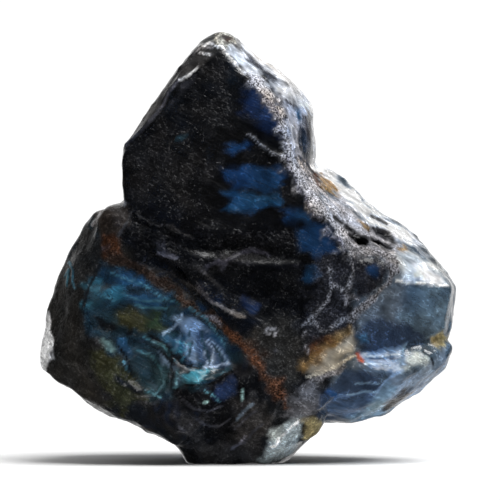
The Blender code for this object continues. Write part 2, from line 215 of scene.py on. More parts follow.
# Painted places of the front: colour, how see-through, how granular, soft edge in pixels, outline.
PATCHES = {
    # the dark crystal
    "bevel": (SMOKE, 0.15, 0, 4, [(212, 52), (196, 52), (178, 78), (160, 100), (140, 126), (127, 148),
        (148, 129), (163, 111), (170, 97), (183, 82), (199, 72), (212, 62)]),
    "bevel_blue": (DUSK, 0.2, 0, 6, [(168, 112), (176, 98), (190, 84), (196, 78), (184, 96),
        (174, 112)]),
    "rough_band": (BAND_GREY, 0, 0.22, 5, [(221, 50), (236, 46), (254, 62), (262, 78), (266, 96),
        (253, 88), (236, 70)]),
    "band_groove": (DUSK, 0, 0.5, 3, [(236, 46), (256, 63), (270, 74), (266, 77), (250, 66)]),
    "outer_band": (BAND_GREY, 0, 0.22, 6, [(238, 40), (258, 52), (280, 70), (294, 86), (282, 84),
        (262, 66), (242, 50)]),
    "apex": (CREAM, 0, 0.8, 4, [(214, 42), (222, 34), (232, 38), (238, 48), (226, 52), (214, 50)]),
    "apex_brown": (DARK_RUST, 0, 0.5, 3, [(222, 40), (231, 40), (232, 49), (224, 48)]),
    "haze_top": (HAZE, 0, 0.30, 16, [(196, 64), (222, 56), (236, 84), (226, 96), (204, 92)]),
    "haze_middle": (HAZE, 0, 0.34, 16, [(186, 112), (226, 98), (240, 112), (228, 130), (196, 132)]),
    "haze_left": (HAZE, 0, 0.30, 16, [(132, 150), (166, 122), (176, 134), (160, 170), (140, 200)]),
    "haze_low": (HAZE, 0, 0.28, 16, [(166, 176), (204, 150), (214, 166), (190, 200), (168, 206)]),
    # the dome beside it
    # Pale top and middle: partly painted light through the thin edges and from above.
    "dome_top": (PALE_GREY, 0.3, 0.05, 8, [(272, 86), (292, 84), (306, 98), (312, 118), (300, 110),
        (284, 100)]),
    "dome_middle": (DOME_GREY, 0.3, 0.15, 6, [(286, 108), (304, 112), (304, 160), (292, 158)]),
    "dome_streak": (BLUE, 0.3, 0.1, 5, [(290, 110), (300, 110), (304, 126), (296, 124)]),
    "dome_dark": (DEEP_BLUE, 0.3, 0.2, 8, [(300, 122), (307, 136), (309, 160), (305, 178), (297, 170),
        (299, 150), (296, 134)]),
    # A painted highlight along the dome's rim.
    "dome_rim_highlight": (WHITE, 0.3, 0, 3, [(308, 104), (324, 116), (326, 176), (311, 172), (313, 150)]),
    # the ground under the crystal
    "undercut_shade": (BLACK, 0, 0.45, 8, [(131, 224), (167, 230), (200, 240), (250, 236), (290, 232),
        (300, 262), (262, 246), (230, 252), (180, 252), (140, 250)]),
    "dark_lens": (BLACK, 0.05, 0, 8, [(225, 268), (250, 256), (285, 264), (304, 280), (304, 306),
        (280, 322), (248, 316), (224, 298), (210, 284)]),
    "lens_navy": (NAVY, 0.2, 0, 7, [(238, 296), (246, 294), (256, 304), (254, 313), (244, 308)]),
    "ledge": (HAZE, 0, 0.5, 8, [(150, 254), (176, 256), (206, 262), (226, 256), (244, 248), (262, 248),
        (276, 258), (262, 262), (240, 262), (226, 270), (206, 270), (170, 264)]),
    "seam_ground": (FLANK, 0, 0.4, 12, [(240, 330), (262, 318), (300, 322), (304, 350), (300, 380),
        (280, 392), (262, 370), (248, 352)]),
    "seam_stain": (DARK_RUST, 0, 0.4, 8, [(237, 334), (256, 334), (264, 350), (258, 366), (244, 356)]),
    "seam_specks": (RUST, 0, 0.7, 6, [(266, 376), (280, 376), (286, 392), (274, 394)]),
    # the lump and the rust beside it
    "lump": (BROWN, 0, 0.3, 5, [(97, 212), (112, 204), (130, 206), (132, 222), (122, 240), (104, 240),
        (98, 228)]),
    "lump_rust": (RUST, 0, 0.5, 6, [(104, 240), (118, 234), (126, 242), (128, 258), (116, 262),
        (104, 256)]),
    "lump_blue": (DUSK, 0.1, 0.1, 5, [(89, 236), (98, 232), (102, 244), (92, 248)]),
    # the teal face
    "flank": (FLANK, 0.05, 0.3, 6, [(40, 296), (62, 262), (78, 236), (100, 226), (106, 258), (94, 282),
        (86, 306), (92, 330), (112, 338), (104, 372), (112, 420), (40, 390)]),
    "teal_face": (TEAL, 0.6, 0, 5, [(104, 262), (128, 266), (148, 274), (172, 292), (200, 306),
        (216, 320), (240, 350), (228, 362), (204, 366), (176, 350), (160, 330), (120, 322), (96, 312),
        (90, 290)]),
    "teal_blue": (BLUE, 0.4, 0, 5, [(120, 274), (132, 271), (146, 276), (144, 284), (128, 283)]),
    "teal_left": (TURQUOISE, 0.4, 0, 11, [(90, 286), (102, 280), (108, 292), (104, 302), (94, 302)]),
    "teal_middle": (TURQUOISE, 0.4, 0, 6, [(106, 286), (122, 284), (130, 296), (116, 302)]),
    "teal_low": (BLUE, 0.4, 0, 6, [(136, 296), (156, 292), (168, 298), (158, 310), (142, 306)]),
    "teal_right": (BLUE, 0.35, 0, 6, [(204, 322), (214, 326), (226, 344), (218, 350), (208, 338)]),
    "olive": (OLIVE, 0.15, 0.15, 8, [(116, 308), (140, 306), (162, 312), (164, 326), (140, 332),
        (118, 324)]),
    "olive_green": (GREEN, 0.2, 0, 6, [(148, 312), (162, 312), (164, 324), (152, 324)]),
    "olive_shade": (LOW_DARK, 0.1, 0.1, 5, [(96, 314), (112, 316), (150, 332), (176, 338), (172, 344),
        (136, 336), (108, 326)]),
    # the pale shells
    "shell_lilac": (SHELL, 0.2, 0, 5, [(176, 316), (188, 314), (202, 322), (204, 336), (194, 336),
        (184, 326)]),
    "shell_turquoise": (BLUE, 0.35, 0, 4, [(164, 334), (182, 334), (196, 334), (197, 352), (184, 352),
        (172, 344)]),
    "shell_heart": (SHELL, 0.2, 0, 4, [(188, 336), (198, 334), (198, 362), (188, 360), (182, 352)]),
    "shell_ribs": (LOBE_BLUE, 0.2, 0, 4, [(200, 330), (212, 336), (228, 352), (232, 362), (206, 364),
        (200, 350)]),
    "bright_strip": (BRIGHT_TURQUOISE, 0.25, 0, 6, [(186, 373), (196, 364), (210, 363), (213, 367),
        (204, 376), (188, 379)]),
    "swirl": (SWIRL_TEAL, 0.3, 0, 13, [(132, 340), (152, 336), (172, 350), (182, 366), (180, 384),
        (152, 392), (132, 380), (126, 358)]),
    "swirl_pale": (SHELL, 0.2, 0, 4, [(160, 348), (166, 350), (172, 360), (166, 360)]),
    "mint_flake": (MINT, 0.2, 0.2, 4, [(106, 336), (112, 337), (119, 346), (117, 353), (111, 348)]),
    "blue_flake": (BLUE, 0.2, 0.2, 8, [(122, 338), (130, 336), (133, 345), (127, 350)]),
    "low_olive": (OLIVE, 0.1, 0.3, 8, [(98, 350), (122, 352), (142, 372), (150, 396), (128, 404),
        (104, 384)]),
    "left_flake": (WHITE, 0.3, 0.3, 3, [(50, 314), (56, 322), (55, 358), (46, 370), (38, 370),
        (42, 340)]),
    # the foot
    "low_navy": (BLACK, 0.05, 0.1, 8, [(176, 384), (204, 384), (232, 366), (258, 368), (262, 398),
        (240, 414), (206, 412), (178, 404)]),
    "low_blue": (NAVY, 0.2, 0, 9, [(215, 393), (221, 384), (230, 377), (233, 381), (224, 392)]),
    "foot_front": (SMOKE, 0.05, 0.3, 9, [(176, 410), (214, 408), (252, 396), (270, 412), (262, 452),
        (230, 466), (196, 452)]),
    "foot_shade": (BLACK, 0.1, 0.1, 8, [(204, 408), (232, 402), (240, 420), (226, 444), (204, 436)]),
    # The pale blue-white of the facet is partly painted light shining through it from behind.
    "ice_facet": (FOOT_ICE, 0.25, 0.35, 5, [(262, 452), (266, 436), (286, 416), (302, 412), (302, 430),
        (288, 456), (264, 462)]),
    "nub": (NUB_BROWN, 0.1, 0.4, 3, [(301, 416), (312, 414), (321, 420), (318, 434), (302, 436)]),
    "dust_ground": (DUST_AND_GLINT_GREY, 0, 0.45, 14, [(294, 384), (312, 374), (322, 388), (316, 410), (296, 416),
        (286, 410)]),
    # the middle and the yellow patch
    "vein_ground": (NIGHT, 0, 0.55, 12, [(316, 262), (344, 250), (352, 300), (356, 326), (330, 340),
        (304, 346), (300, 322), (318, 300)]),
    "yellow_patch": (CREAM, 0.25, 0.05, 7, [(316, 350), (332, 338), (352, 330), (352, 346), (336, 362),
        (314, 372), (304, 372)]),
    "ochre_patch": (OCHRE, 0.1, 0.3, 8, [(300, 366), (306, 350), (324, 336), (346, 328), (350, 332),
        (328, 344), (312, 360), (304, 374)]),
    "rust_patch": (RUST, 0, 0.4, 7, [(308, 344), (318, 334), (326, 336), (318, 348), (308, 352)]),
    # the crest of the wing
    # The white of the blurry ridge is partly painted light shining through its thin edge.
    "blurry_ridge": (WHITE, 0.45, 0, 7, [(318, 160), (334, 172), (368, 204), (392, 220), (420, 244),
        (400, 246), (366, 226), (340, 200), (324, 184)]),
    "pale_crust": (CRUST_PALE, 0.05, 0.5, 5, [(322, 192), (340, 200), (368, 222), (396, 236), (404, 254),
        (380, 256), (348, 246), (328, 216)]),
    "crest_stain": (OCHRE, 0, 0.4, 5, [(318, 172), (324, 170), (334, 186), (336, 196), (322, 190)]),
    "crest_rust": (RUST, 0, 0.3, 3, [(311, 176), (316, 175), (320, 186), (316, 190), (311, 184)]),
    "stain_two": (OCHRE, 0, 0.4, 4, [(354, 220), (360, 219), (367, 228), (360, 229)]),
    "stain_three": (OCHRE, 0, 0.4, 4, [(396, 246), (402, 243), (411, 252), (402, 253)]),
    # The pale top facet is partly painted reflection of the bright background and painted light shining
    # through it.
    "wing_top": (ICE, 0.25, 0.1, 6, [(392, 256), (408, 250), (430, 262), (446, 280), (420, 283),
        (394, 280)]),
    "wing_top_white": (PALE_GREY, 0.25, 0.1, 4, [(408, 262), (424, 264), (444, 282), (414, 280)]),
    # the wing
    "wing_navy": (NIGHT, 0.2, 0.35, 9, [(346, 252), (376, 250), (390, 262), (384, 282), (364, 300),
        (350, 298), (344, 276)]),
    "wing_glint": (ROYAL, 0.3, 0, 7, [(366, 271), (372, 268), (374, 276), (368, 279)]),
    "wing_left": (SLATE, 0.2, 0.1, 9, [(360, 296), (392, 280), (416, 286), (404, 312), (380, 330),
        (356, 330)]),
    "wing_face": (WING_BLUE, 0.55, 0, 10, [(410, 288), (450, 288), (455, 310), (448, 330), (410, 336),
        (398, 316)]),
    "wing_low": (LOBE_BLUE, 0.55, 0, 7, [(356, 330), (372, 320), (406, 322), (424, 340), (402, 350),
        (362, 350)]),
    "wing_low_glint": (BLUE, 0.3, 0, 3, [(357, 335), (363, 332), (366, 338), (359, 341)]),
    "wing_band": (SHELL, 0.3, 0, 4, [(360, 352), (370, 350), (402, 344), (404, 362), (386, 372),
        (366, 364)]),
    "wing_band_white": (FOOT_ICE, 0.15, 0.35, 6, [(402, 352), (412, 350), (424, 356), (424, 366),
        (400, 368)]),
    "notch": (NUB_BROWN, 0.1, 0.3, 5, [(430, 338), (440, 332), (449, 336), (444, 348), (432, 346)]),
    # the lower lobe
    "lobe": (LOBE_BLUE, 0.55, 0, 6, [(318, 392), (342, 366), (362, 364), (384, 372), (372, 392),
        (360, 412), (330, 422), (318, 412)]),
    "lobe_light": (LOBE_GREY, 0.25, 0.1, 6, [(386, 376), (404, 368), (428, 364), (448, 346), (448, 366),
        (420, 392), (392, 408), (372, 412), (378, 392)]),
    "lobe_band": (WING_BLUE, 0.25, 0, 4, [(384, 378), (392, 384), (380, 408), (368, 412), (374, 394)]),
    "lobe_shade": (SMOKE, 0.1, 0.3, 5, [(386, 400), (404, 386), (412, 392), (392, 408), (380, 410)]),
}

# Lines of the front: colour, how see-through, how granular, width in pixels, height in mm, lines.
STROKES = {
    # worn edges of the dark crystal, and painted highlights on its bevel and tip
    # Painted highlights along the inner ridge of the bevel.
    "bevel_highlight_line": (LILAC, 0, 0.3, 3, 0.01, [(164, 111), (170, 97), (179, 85)]),
    "bevel_glint": (PALE_GREY, 0, 0.1, 3, 0.02, [(180, 84), (185, 82), (191, 78), (199, 71)]),
    "bevel_end": (DUSK, 0, 0.2, 5, 0.02, [(127, 149), (148, 129), (164, 111)]),
    "bevel_top": (SMOKE, 0, 0.2, 4, 0.01, [(199, 71), (208, 64), (214, 60)]),
    # Painted highlights at the tip: a light line, a white arc and glints on small chips.
    "tip_highlight_line": (CREST_GREY, 0, 0.1, 2.6, 0.02, [(193, 58), (201, 51), (213, 52)]),
    "tip_highlight_arc": (PALE_GREY, 0, 0, 2.4, 0.02, [(200, 56), (204, 58.6), (211, 59)]),
    "tip_chip_glints": (PALE_GREY, 0, 0.4, 3.4, 0.02, [(203, 49), (209, 46), (217, 51)]),
    "outer_edge": (SMOKE, 0, 0.3, 4, 0, [(196, 54), (178, 80), (161, 101), (140, 128)]),
    "face_arc": (HAZE, 0, 0.3, 4, 0.004, [(180, 137), (165, 160), (158, 169), (152, 181),
        (140, 206)]),
    "inner_ridge": (DUST_AND_GLINT_GREY, 0, 0.7, 4, 0.02, [(248, 138), (262, 150), (280, 163), (288, 166)]),
    "foot_line": (SMOKE, 0, 0.5, 3, 0.008, [(139, 215), (160, 225), (169, 226), (183, 231),
        (194, 237)]),
    "side_ridge": (SMOKE, 0, 0.3, 3.5, 0.015, [(136, 211), (131, 221), (123, 237)]),
    "edge_chip": (CREST_GREY, 0.2, 0.3, 5, 0, [(124, 182), (124, 196), (128, 205)]),
    "pale_band_edge": (WHITE, 0, 0.5, 3, 0.01, [(221, 50), (236, 68), (253, 88)]),
    # the crusted crest
    "crest_one": (CREST_GREY, 0, 1, 16, 0.03, [(252, 84), (266, 98), (277, 114), (284, 136),
        (288, 160)]),
    "crest_two": (CREST_GREY, 0, 1, 25, 0.03, [(288, 160), (300, 180), (316, 204), (332, 226),
        (350, 244)]),
    "crest_edge": (LILAC, 0, 0.8, 4, 0.02, [(262, 98), (274, 112), (281, 130), (283, 150), (286, 168),
        (298, 190), (312, 214), (328, 236), (344, 248)]),
    "crest_three": (DUST_AND_GLINT_GREY, 0, 0.8, 12, 0.02, [(344, 244), (364, 250), (384, 254), (394, 264)]),
    "wing_rim": (DUST_AND_GLINT_GREY, 0, 0.8, 9, 0.01, [(392, 262), (386, 280), (372, 294), (358, 306), (346, 318)]),
    "wing_edge": (WHITE, 0.1, 0.1, 3, 0.02, [(393, 280), (416, 282), (446, 285)]),
    # long pits in the crust of the wing
    "pit_one": (BLACK, 0, 0, 7, -0.05, [(343, 227), (352, 233)]),
    "pit_two": (BLACK, 0, 0, 9.5, -0.06, [(353, 236), (363, 242)]),
    "pit_three": (BLACK, 0, 0, 8.5, -0.06, [(370, 240), (387, 248)]),
    "pit_four": (BLACK, 0, 0, 9, -0.06, [(377, 233), (391, 241)]),
    "pit_five": (SMOKE, 0, 0, 6, -0.04, [(371, 216), (386, 224)]),
    "pit_six": (SMOKE, 0, 0, 6, -0.04, [(332, 218), (339, 223)]),
    "pit_seven": (BLACK, 0, 0, 6, -0.05, [(347, 235), (354, 241)]),
    "pit_eight": (SMOKE, 0, 0, 6, -0.04, [(372, 228), (388, 234)]),
    # ledges under the crystal, with painted highlights on their lips
    # Painted highlights along the ledges.
    "ledge_glint": (LILAC, 0, 0.1, 4, 0.008, [(161, 253), (170, 256), (178, 258)]),
    "ledge_highlight_low": (LEDGE_HIGHLIGHT_LILAC, 0, 0.3, 6, 0.006, [(208, 266), (218, 262), (227, 262), (224, 267)]),
    "ledge_highlight_high": (LEDGE_HIGHLIGHT_LILAC, 0, 0.3, 5, 0.008, [(227, 260), (242, 253), (252, 249), (262, 252),
        (269, 256)]),
    "lip_line": (SMOKE, 0, 0.3, 4, 0.006, [(142, 263), (156, 268), (172, 272), (186, 281), (204, 291),
        (214, 301)]),
    # A painted highlight on the lower lip.
    "lip_glint": (DUST_AND_GLINT_GREY, 0, 0.4, 4, 0.006, [(216, 303), (224, 306), (233, 310), (246, 316)]),
    "second_line": (SMOKE, 0, 0.2, 3.5, 0.01, [(196, 264), (210, 276), (222, 288)]),
    # the rusty seam
    "seam_upper": (DARK_RUST, 0, 0.5, 13, 0, [(118, 258), (144, 268), (170, 284), (184, 299)]),
    "seam_middle": (DARK_RUST, 0, 0.6, 13, 0, [(184, 299), (210, 313), (226, 326), (240, 340)]),
    "seam_rust": (RUST, 0, 0.6, 11, 0, [(228, 328), (240, 338), (252, 352), (260, 362)]),
    "seam_low": (RUST, 0, 0.7, 9, 0, [(262, 368), (268, 375), (274, 380)]),
    "seam_end": (RUST, 0, 0.7, 6, 0, [(274, 382), (282, 394), (286, 404)]),
    "seam_light": (LILAC, 0, 0.6, 4, 0.01, [(206, 313), (214, 316), (222, 322)]),
    # the teal face and the shells
    "left_glints": (TEAL_LINE, 0.1, 0, 3, 0.015, [(72, 262), (77, 270), (76, 280), (79, 287)],
        [(68, 276), (72, 270), (70, 284)]),
    "left_chip": (CREST_GREY, 0, 0.3, 3, 0.02, [(103, 213), (101, 221), (95, 226)]),
    "flank_edge": (LOW_DARK, 0, 0.1, 5, 0, [(104, 262), (94, 284), (88, 304)]),
    "teal_line_left": (TEAL_LINE, 0.2, 0, 2.6, 0.006, [(94, 285), (104, 294), (118, 300)]),
    "teal_lines": (TEAL_LINE, 0.2, 0, 2.4, 0.006, [(124, 291), (136, 297), (151, 300), (166, 299)],
        [(138, 302), (152, 307), (170, 306)], [(112, 270), (126, 277), (142, 281), (154, 289)],
        [(150, 285), (164, 296), (180, 302)]),
    "teal_line_right": (TEAL_LINE, 0.2, 0, 2.6, 0.006, [(190, 306), (204, 314), (216, 328), (226, 344)]),
    "swirl_edge": (TEAL_LINE, 0.1, 0, 3, 0.012, [(146, 335), (163, 341), (176, 353), (181, 367),
        (178, 383)]),
    "swirl_arc_dark": (LOW_DARK, 0.1, 0, 3, -0.012, [(146, 340), (160, 346), (172, 357), (176, 370),
        (173, 384)]),
    "swirl_arcs": (TEAL_LINE, 0.1, 0, 2.4, 0.008, [(140, 348), (155, 354), (165, 366), (166, 380),
        (158, 389)], [(126, 357), (136, 372), (149, 386), (163, 392)]),
    "swirl_crack": (LOW_DARK, 0.1, 0, 3.4, -0.015, [(104, 323), (118, 337), (130, 353), (134, 368),
        (147, 385)]),
    "shell_shadow": (LOW_DARK, 0, 0.1, 6, 0, [(166, 350), (176, 360), (190, 368)]),
    "olive_shadow": (LOW_DARK, 0, 0.1, 7, 0, [(120, 375), (134, 383), (147, 390)]),
    "low_crinkles": (DUSK, 0, 0, 2.4, 0.008, [(184, 394), (195, 403), (208, 407), (222, 401)],
        [(196, 412), (206, 421), (220, 422), (230, 414)]),
    "low_crinkle_teal": (TEAL_LINE, 0, 0, 2.2, 0.008, [(206, 386), (214, 390), (219, 397)]),
    "foot_streaks": (DUSK, 0, 0.2, 2.8, 0.008, [(234, 426), (244, 415), (256, 406)],
        [(244, 440), (252, 428), (262, 420)]),
    "shell_branch": (SHELL, 0, 0, 3.5, 0.02, [(166, 331), (176, 325), (182, 318), (184, 312)]),
    "shell_edge": (LOW_DARK, 0.1, 0, 4.5, -0.03, [(152, 334), (166, 340), (174, 350), (184, 361),
        (200, 364)]),
    "rib_one": (RIB, 0, 0, 2.4, 0.02, [(208, 338), (214, 346), (212, 362)]),
    "rib_two": (SHELL, 0, 0, 3, 0.02, [(211, 336), (222, 350), (229, 361)]),
    "rib_three": (RIB, 0, 0, 2.2, 0.02, [(205, 344), (207, 354), (210, 363)]),
    "rib_gap_wide": (TEAL, 0.1, 0, 3.4, 0, [(202, 329), (206, 342), (211, 358)]),
    "rib_gaps": (TEAL, 0.1, 0, 2.8, 0, [(216, 345), (221, 354), (224, 361)],
        [(190, 326), (193, 340), (190, 356)]),
    "rib_foot": (RIB, 0, 0, 2.4, 0.02, [(206, 363), (218, 363), (228, 360)]),
    "strip_shade": (BLACK, 0, 0, 3.5, -0.02, [(186, 381), (206, 381), (222, 376), (232, 368)]),
    "strip_light": (TEAL, 0.1, 0, 5, 0.015, [(206, 374), (220, 370), (232, 364)]),
    # Painted glints on the foot.
    "low_mint_glint_one": (MINT, 0, 0.35, 2.6, 0.01, [(202, 397), (209, 397)]),
    "low_mint_glint_two": (MINT, 0.1, 0.35, 2.8, 0.01, [(243, 387), (244, 395)]),
    "low_streak": (SLATE, 0, 0.2, 3.5, 0.015, [(236, 416), (244, 406), (253, 399)]),
    # A painted highlight along an arc of the foot.
    "foot_highlight_arc": (LILAC, 0, 0, 2.6, 0.015, [(232, 446), (240, 440), (246, 430)]),
    "ice_streak": (WHITE, 0.1, 0.4, 3.5, 0.015, [(272, 444), (284, 432), (298, 417)]),
    "ring": (CREST_GREY, 0, 0.1, 2.4, 0.01, [(270, 332), (266, 330), (268, 326), (273, 326), (276, 329),
        (274, 333)]),
    # veins of grey crust
    "vein_one": (DUST_AND_GLINT_GREY, 0, 0.9, 4, 0.02, [(327, 266), (329, 285), (323, 301), (316, 312), (303, 323)]),
    "vein_two": (DUST_AND_GLINT_GREY, 0, 0.9, 3.5, 0.02, [(303, 323), (312, 322), (318, 328)]),
    "vein_three": (DUST_AND_GLINT_GREY, 0, 0.9, 3.2, 0.02, [(302, 332), (303, 342), (308, 348)]),
    "vein_four": (DUST_AND_GLINT_GREY, 0, 0.9, 3.5, 0.02, [(328, 285), (338, 288), (346, 292), (354, 296)]),
    "vein_five": (DUST_AND_GLINT_GREY, 0, 0.8, 4, 0.01, [(348, 254), (350, 276), (344, 292), (342, 304)]),
    "vein_six": (DUST_AND_GLINT_GREY, 0, 0.8, 5, 0.01, [(322, 328), (336, 320), (352, 312)]),
    "red_speck": (RED, 0, 0.1, 7, 0.01, [(355, 352), (359, 358)]),
    "patch_edge": (CREAM, 0, 0.5, 3, 0.015, [(306, 374), (322, 368), (340, 358), (354, 354)]),
    # the wing and the lobe
    "band_line_one": (ICE, 0, 0, 2.2, 0.012, [(364, 353), (380, 354), (396, 351)]),
    "band_line_two": (LOBE_BLUE, 0.2, 0, 2.4, -0.01, [(368, 356), (384, 357), (398, 355)]),
    "band_line_three": (ICE, 0, 0, 2.2, 0.012, [(362, 360), (376, 361), (388, 366)]),
    "band_line_four": (WING_BLUE, 0.1, 0, 2.6, 0.012, [(404, 342), (398, 350), (396, 362)]),
    "lobe_line_one": (SHELL, 0, 0, 3, 0.015, [(400, 366), (384, 376), (373, 389)]),
    "lobe_line_two": (WING_BLUE, 0, 0, 2.8, 0.012, [(373, 389), (360, 388), (346, 391)]),
    "lobe_line_three": (WING_BLUE, 0.1, 0, 2.4, 0.01, [(376, 381), (362, 379), (352, 380)]),
    "lobe_spot": (ROYAL, 0.2, 0, 7, 0, [(326, 388), (333, 391)]),
    "lobe_dust": (DUST_AND_GLINT_GREY, 0, 0.6, 6, 0.01, [(302, 384), (318, 374), (340, 364)]),
    "notch_line": (LOW_DARK, 0.1, 0.1, 3, -0.02, [(420, 350), (428, 356), (430, 362)]),
}

# Fans of fine rays: colour, origin, reach in pixels, middle and half-spread in degrees, ray width.
FANS = {
    "turquoise_fan": (BRIGHT_TURQUOISE, (199, 341), 34, 190, 42, 4.5),
    "lilac_fan": (SHELL, (184, 322), 34, -60, 55, 9),
    "rib_fan": (RIB, (206, 322), 46, -62, 24, 7),
    "swirl_fan": (SHELL, (140, 344), 48, -42, 26, 6),
}

# Places of the front with little broken relief: soft edge in pixels, how levelled, outline.
SMOOTH_PLACES = {
    "crystal_face": (20, 0, [(214, 62), (252, 92), (284, 140), (286, 170), (330, 240), (320, 262),
        (230, 240), (140, 210), (128, 160), (180, 90)]),
    "wing_face": (16, 0, [(380, 288), (450, 286), (452, 330), (400, 340), (362, 330)]),
    "dome": (10, 0, [(284, 96), (304, 92), (318, 118), (320, 172), (300, 172), (288, 140)]),
    "rough_band": (10, 0.3, [(224, 44), (242, 40), (296, 84), (290, 100), (266, 92), (252, 86),
        (236, 66)]),
    "lobe": (14, 0, [(318, 380), (350, 366), (390, 372), (440, 352), (440, 376), (400, 408),
        (330, 424)]),
    "olive": (14, 1, [(100, 294), (140, 290), (174, 302), (176, 334), (136, 340), (104, 330)]),
    "lip": (12, 0.7, [(212, 292), (240, 296), (266, 306), (280, 334), (250, 340), (222, 320)]),
    "shell_edge": (10, 0.8, [(158, 344), (180, 340), (200, 354), (194, 372), (170, 368)]),
}

# Ripples round a centre: radius from and to, width of a ripple, all in pixels, and height in mm.
RIPPLES = {
    "swirl_ripples": ((146, 372), 8, 34, 6.5, 0.012),
    "foot_ripples": ((206, 404), 20, 52, 9, 0.012),
    "lobe_ripples": ((340, 350), 36, 74, 9, 0.004),
    "wing_ripples": ((470, 250), 40, 110, 11, 0.003),
    "head_ripples": ((120, 110), 60, 110, 14, 0.003),
}


def hashed(cell, salt):
    """A repeatable number from 0 to 1 for each cell of a lattice."""
    across, deep, high, salted = HASH_FACTORS
    mixed = cell[:, 0] * across + cell[:, 1] * deep + cell[:, 2] * high + salt * salted
    mixed = (mixed ^ (mixed >> 13)) * HASH_MIXER
    mixed = mixed ^ (mixed >> 16)
    return (mixed & 0xFFFFFF) / float(0x1000000)


def soft_noise(points, size, salt=0):
    """Smooth noise from 0 to 1 with features of the given size."""
    scaled = points / size
    cell = np.floor(scaled).astype(np.int64)
    part = scaled - cell
    part = part ** 3 * (part * (part * 6 - 15) + 10)
    total = np.zeros(len(points))
    for corner in product((0, 1), repeat=3):
        offset = np.array(corner)
        weight = np.prod(np.where(offset, part, 1 - part), axis=1)
        total += weight * hashed(cell + offset, salt)
    return total


def layered_noise(points, size, layers=3, salt=0):
    """Noise from 0 to 1 that adds finer noise to coarse noise."""
    total = np.zeros(len(points))
    whole = 0.0
    for layer in range(layers):
        height = 0.5 ** layer
        total += height * soft_noise(points, size * height, salt + 17 * layer)
        whole += height
    return total / whole


def scoops(points, size, salt=0):
    """Squared distance in cells to the nearest of many scattered points: hollows with sharp ridges."""
    scaled = points / size
    cell = np.floor(scaled).astype(np.int64)
    nearest = np.full(len(points), 9.0)
    for step in product((-1, 0, 1), repeat=3):
        neighbour = cell + np.array(step)
        centre = neighbour + np.stack([hashed(neighbour, salt + axis) for axis in range(3)], axis=1)
        nearest = np.minimum(nearest, ((scaled - centre) ** 2).sum(axis=1))
    return nearest


def smoothstep(value, low, high):
    """0 below low, 1 above high and a smooth rise between them."""
    t = np.clip((value - low) / (high - low), 0.0, 1.0)
    return t * t * (3 - 2 * t)


def scale_matrix(factor):
    """A uniform scale about the origin."""
    return Matrix.Diagonal((factor, factor, factor, 1.0))


def positions(mesh):
    """The vertices of a mesh as rows of x, y and z."""
    flat = np.empty(len(mesh.vertices) * 3)
    mesh.vertices.foreach_get("co", flat)
    return flat.reshape(-1, 3)


def set_positions(mesh, points):
    """Moves the vertices of a mesh."""
    mesh.vertices.foreach_set("co", points.ravel())
    mesh.update()


def outward(mesh):
    """The unit normals of the vertices."""
    flat = np.empty(len(mesh.vertices) * 3)
    mesh.vertex_normals.foreach_get("vector", flat)
    return flat.reshape(-1, 3)


def smoothed(mesh, points, rounds):
    """The points after a number of rounds of averaging with their neighbours."""
    edges = np.empty(len(mesh.edges) * 2, dtype=np.int64)
    mesh.edges.foreach_get("vertices", edges)
    edges = edges.reshape(-1, 2)
    one = np.concatenate([edges[:, 0], edges[:, 1]])
    other = np.concatenate([edges[:, 1], edges[:, 0]])
    count = np.bincount(one, minlength=len(points)).astype(float)
    for _ in range(rounds):
        mean = [np.bincount(one, points[other, axis], len(points)) / count for axis in range(3)]
        points = 0.5 * points + 0.5 * np.stack(mean, axis=1)
    return points


def photo_places(points):
    """Where the points fall in the photograph, in pixels."""
    across = PIXEL_OF_MIDDLE + points[:, 0] * PIXELS_PER_MM
    down = PIXEL_OF_FLOOR - points[:, 2] * PIXELS_PER_MM
    return np.stack([across, down], axis=1)


def line_distance(places, line):
    """The distance in pixels to a line of straight stretches."""
    nearest = np.full(len(places), np.inf)
    for start, end in zip(line, line[1:]):
        start = np.array(start, dtype=float)
        along = np.array(end, dtype=float) - start
        part = np.clip(((places - start) @ along) / (along @ along), 0, 1)
        nearest = np.minimum(nearest, np.linalg.norm(places - start - part[:, None] * along, axis=1))
    return nearest


def inside(places, outline):
    """Whether each place is inside a closed outline."""
    found = np.zeros(len(places), dtype=bool)
    for (x0, y0), (x1, y1) in zip(outline, outline[1:] + outline[:1]):
        if y0 == y1:
            continue
        crosses = (places[:, 1] > min(y0, y1)) & (places[:, 1] <= max(y0, y1))
        meeting = x0 + (places[:, 1] - y0) * (x1 - x0) / (y1 - y0)
        found ^= crosses & (places[:, 0] < meeting)
    return found


def patch_mask(places, outline, edge, ragged=0.0):
    """1 inside the outline and 0 outside it, with a soft edge that noise makes ragged."""
    distance = line_distance(places, outline + outline[:1])
    signed = np.where(inside(places, outline), distance, -distance) + ragged * edge
    return smoothstep(signed, -edge * 0.7, edge * 0.7)


def stroke_mask(places, line, width, ragged):
    """1 along the middle of a line, 0 outside its width, which noise makes uneven."""
    distance = line_distance(places, line) / width + ragged
    return 1 - smoothstep(distance, 0.15, 0.6)


def fan_mask(places, origin, reach, middle, spread, ray_width):
    """Fine rays that spread from an origin. Angles count upwards from the right."""
    across = places[:, 0] - origin[0]
    up = origin[1] - places[:, 1]
    angle = np.degrees(np.arctan2(up, across))
    off = np.abs((angle - middle + 180) % 360 - 180)
    distance = np.hypot(across, up)
    rays = soft_noise(np.stack([angle, distance * 0.12, 0 * angle], axis=1), ray_width, 71)
    window = (1 - smoothstep(off, spread * 0.7, spread)) * smoothstep(distance, 2, 8)
    return smoothstep(rays, 0.5, 0.72) * window * (1 - smoothstep(distance, reach * 0.7, reach))


def ripple_mask(places, centre, start, end, width):
    """Waves from -1 to 1 round a centre."""
    distance = np.hypot(places[:, 0] - centre[0], places[:, 1] - centre[1])
    window = smoothstep(distance, start, start + width) * (1 - smoothstep(distance, end - width, end))
    return np.sin(distance * 2 * math.pi / width) * window


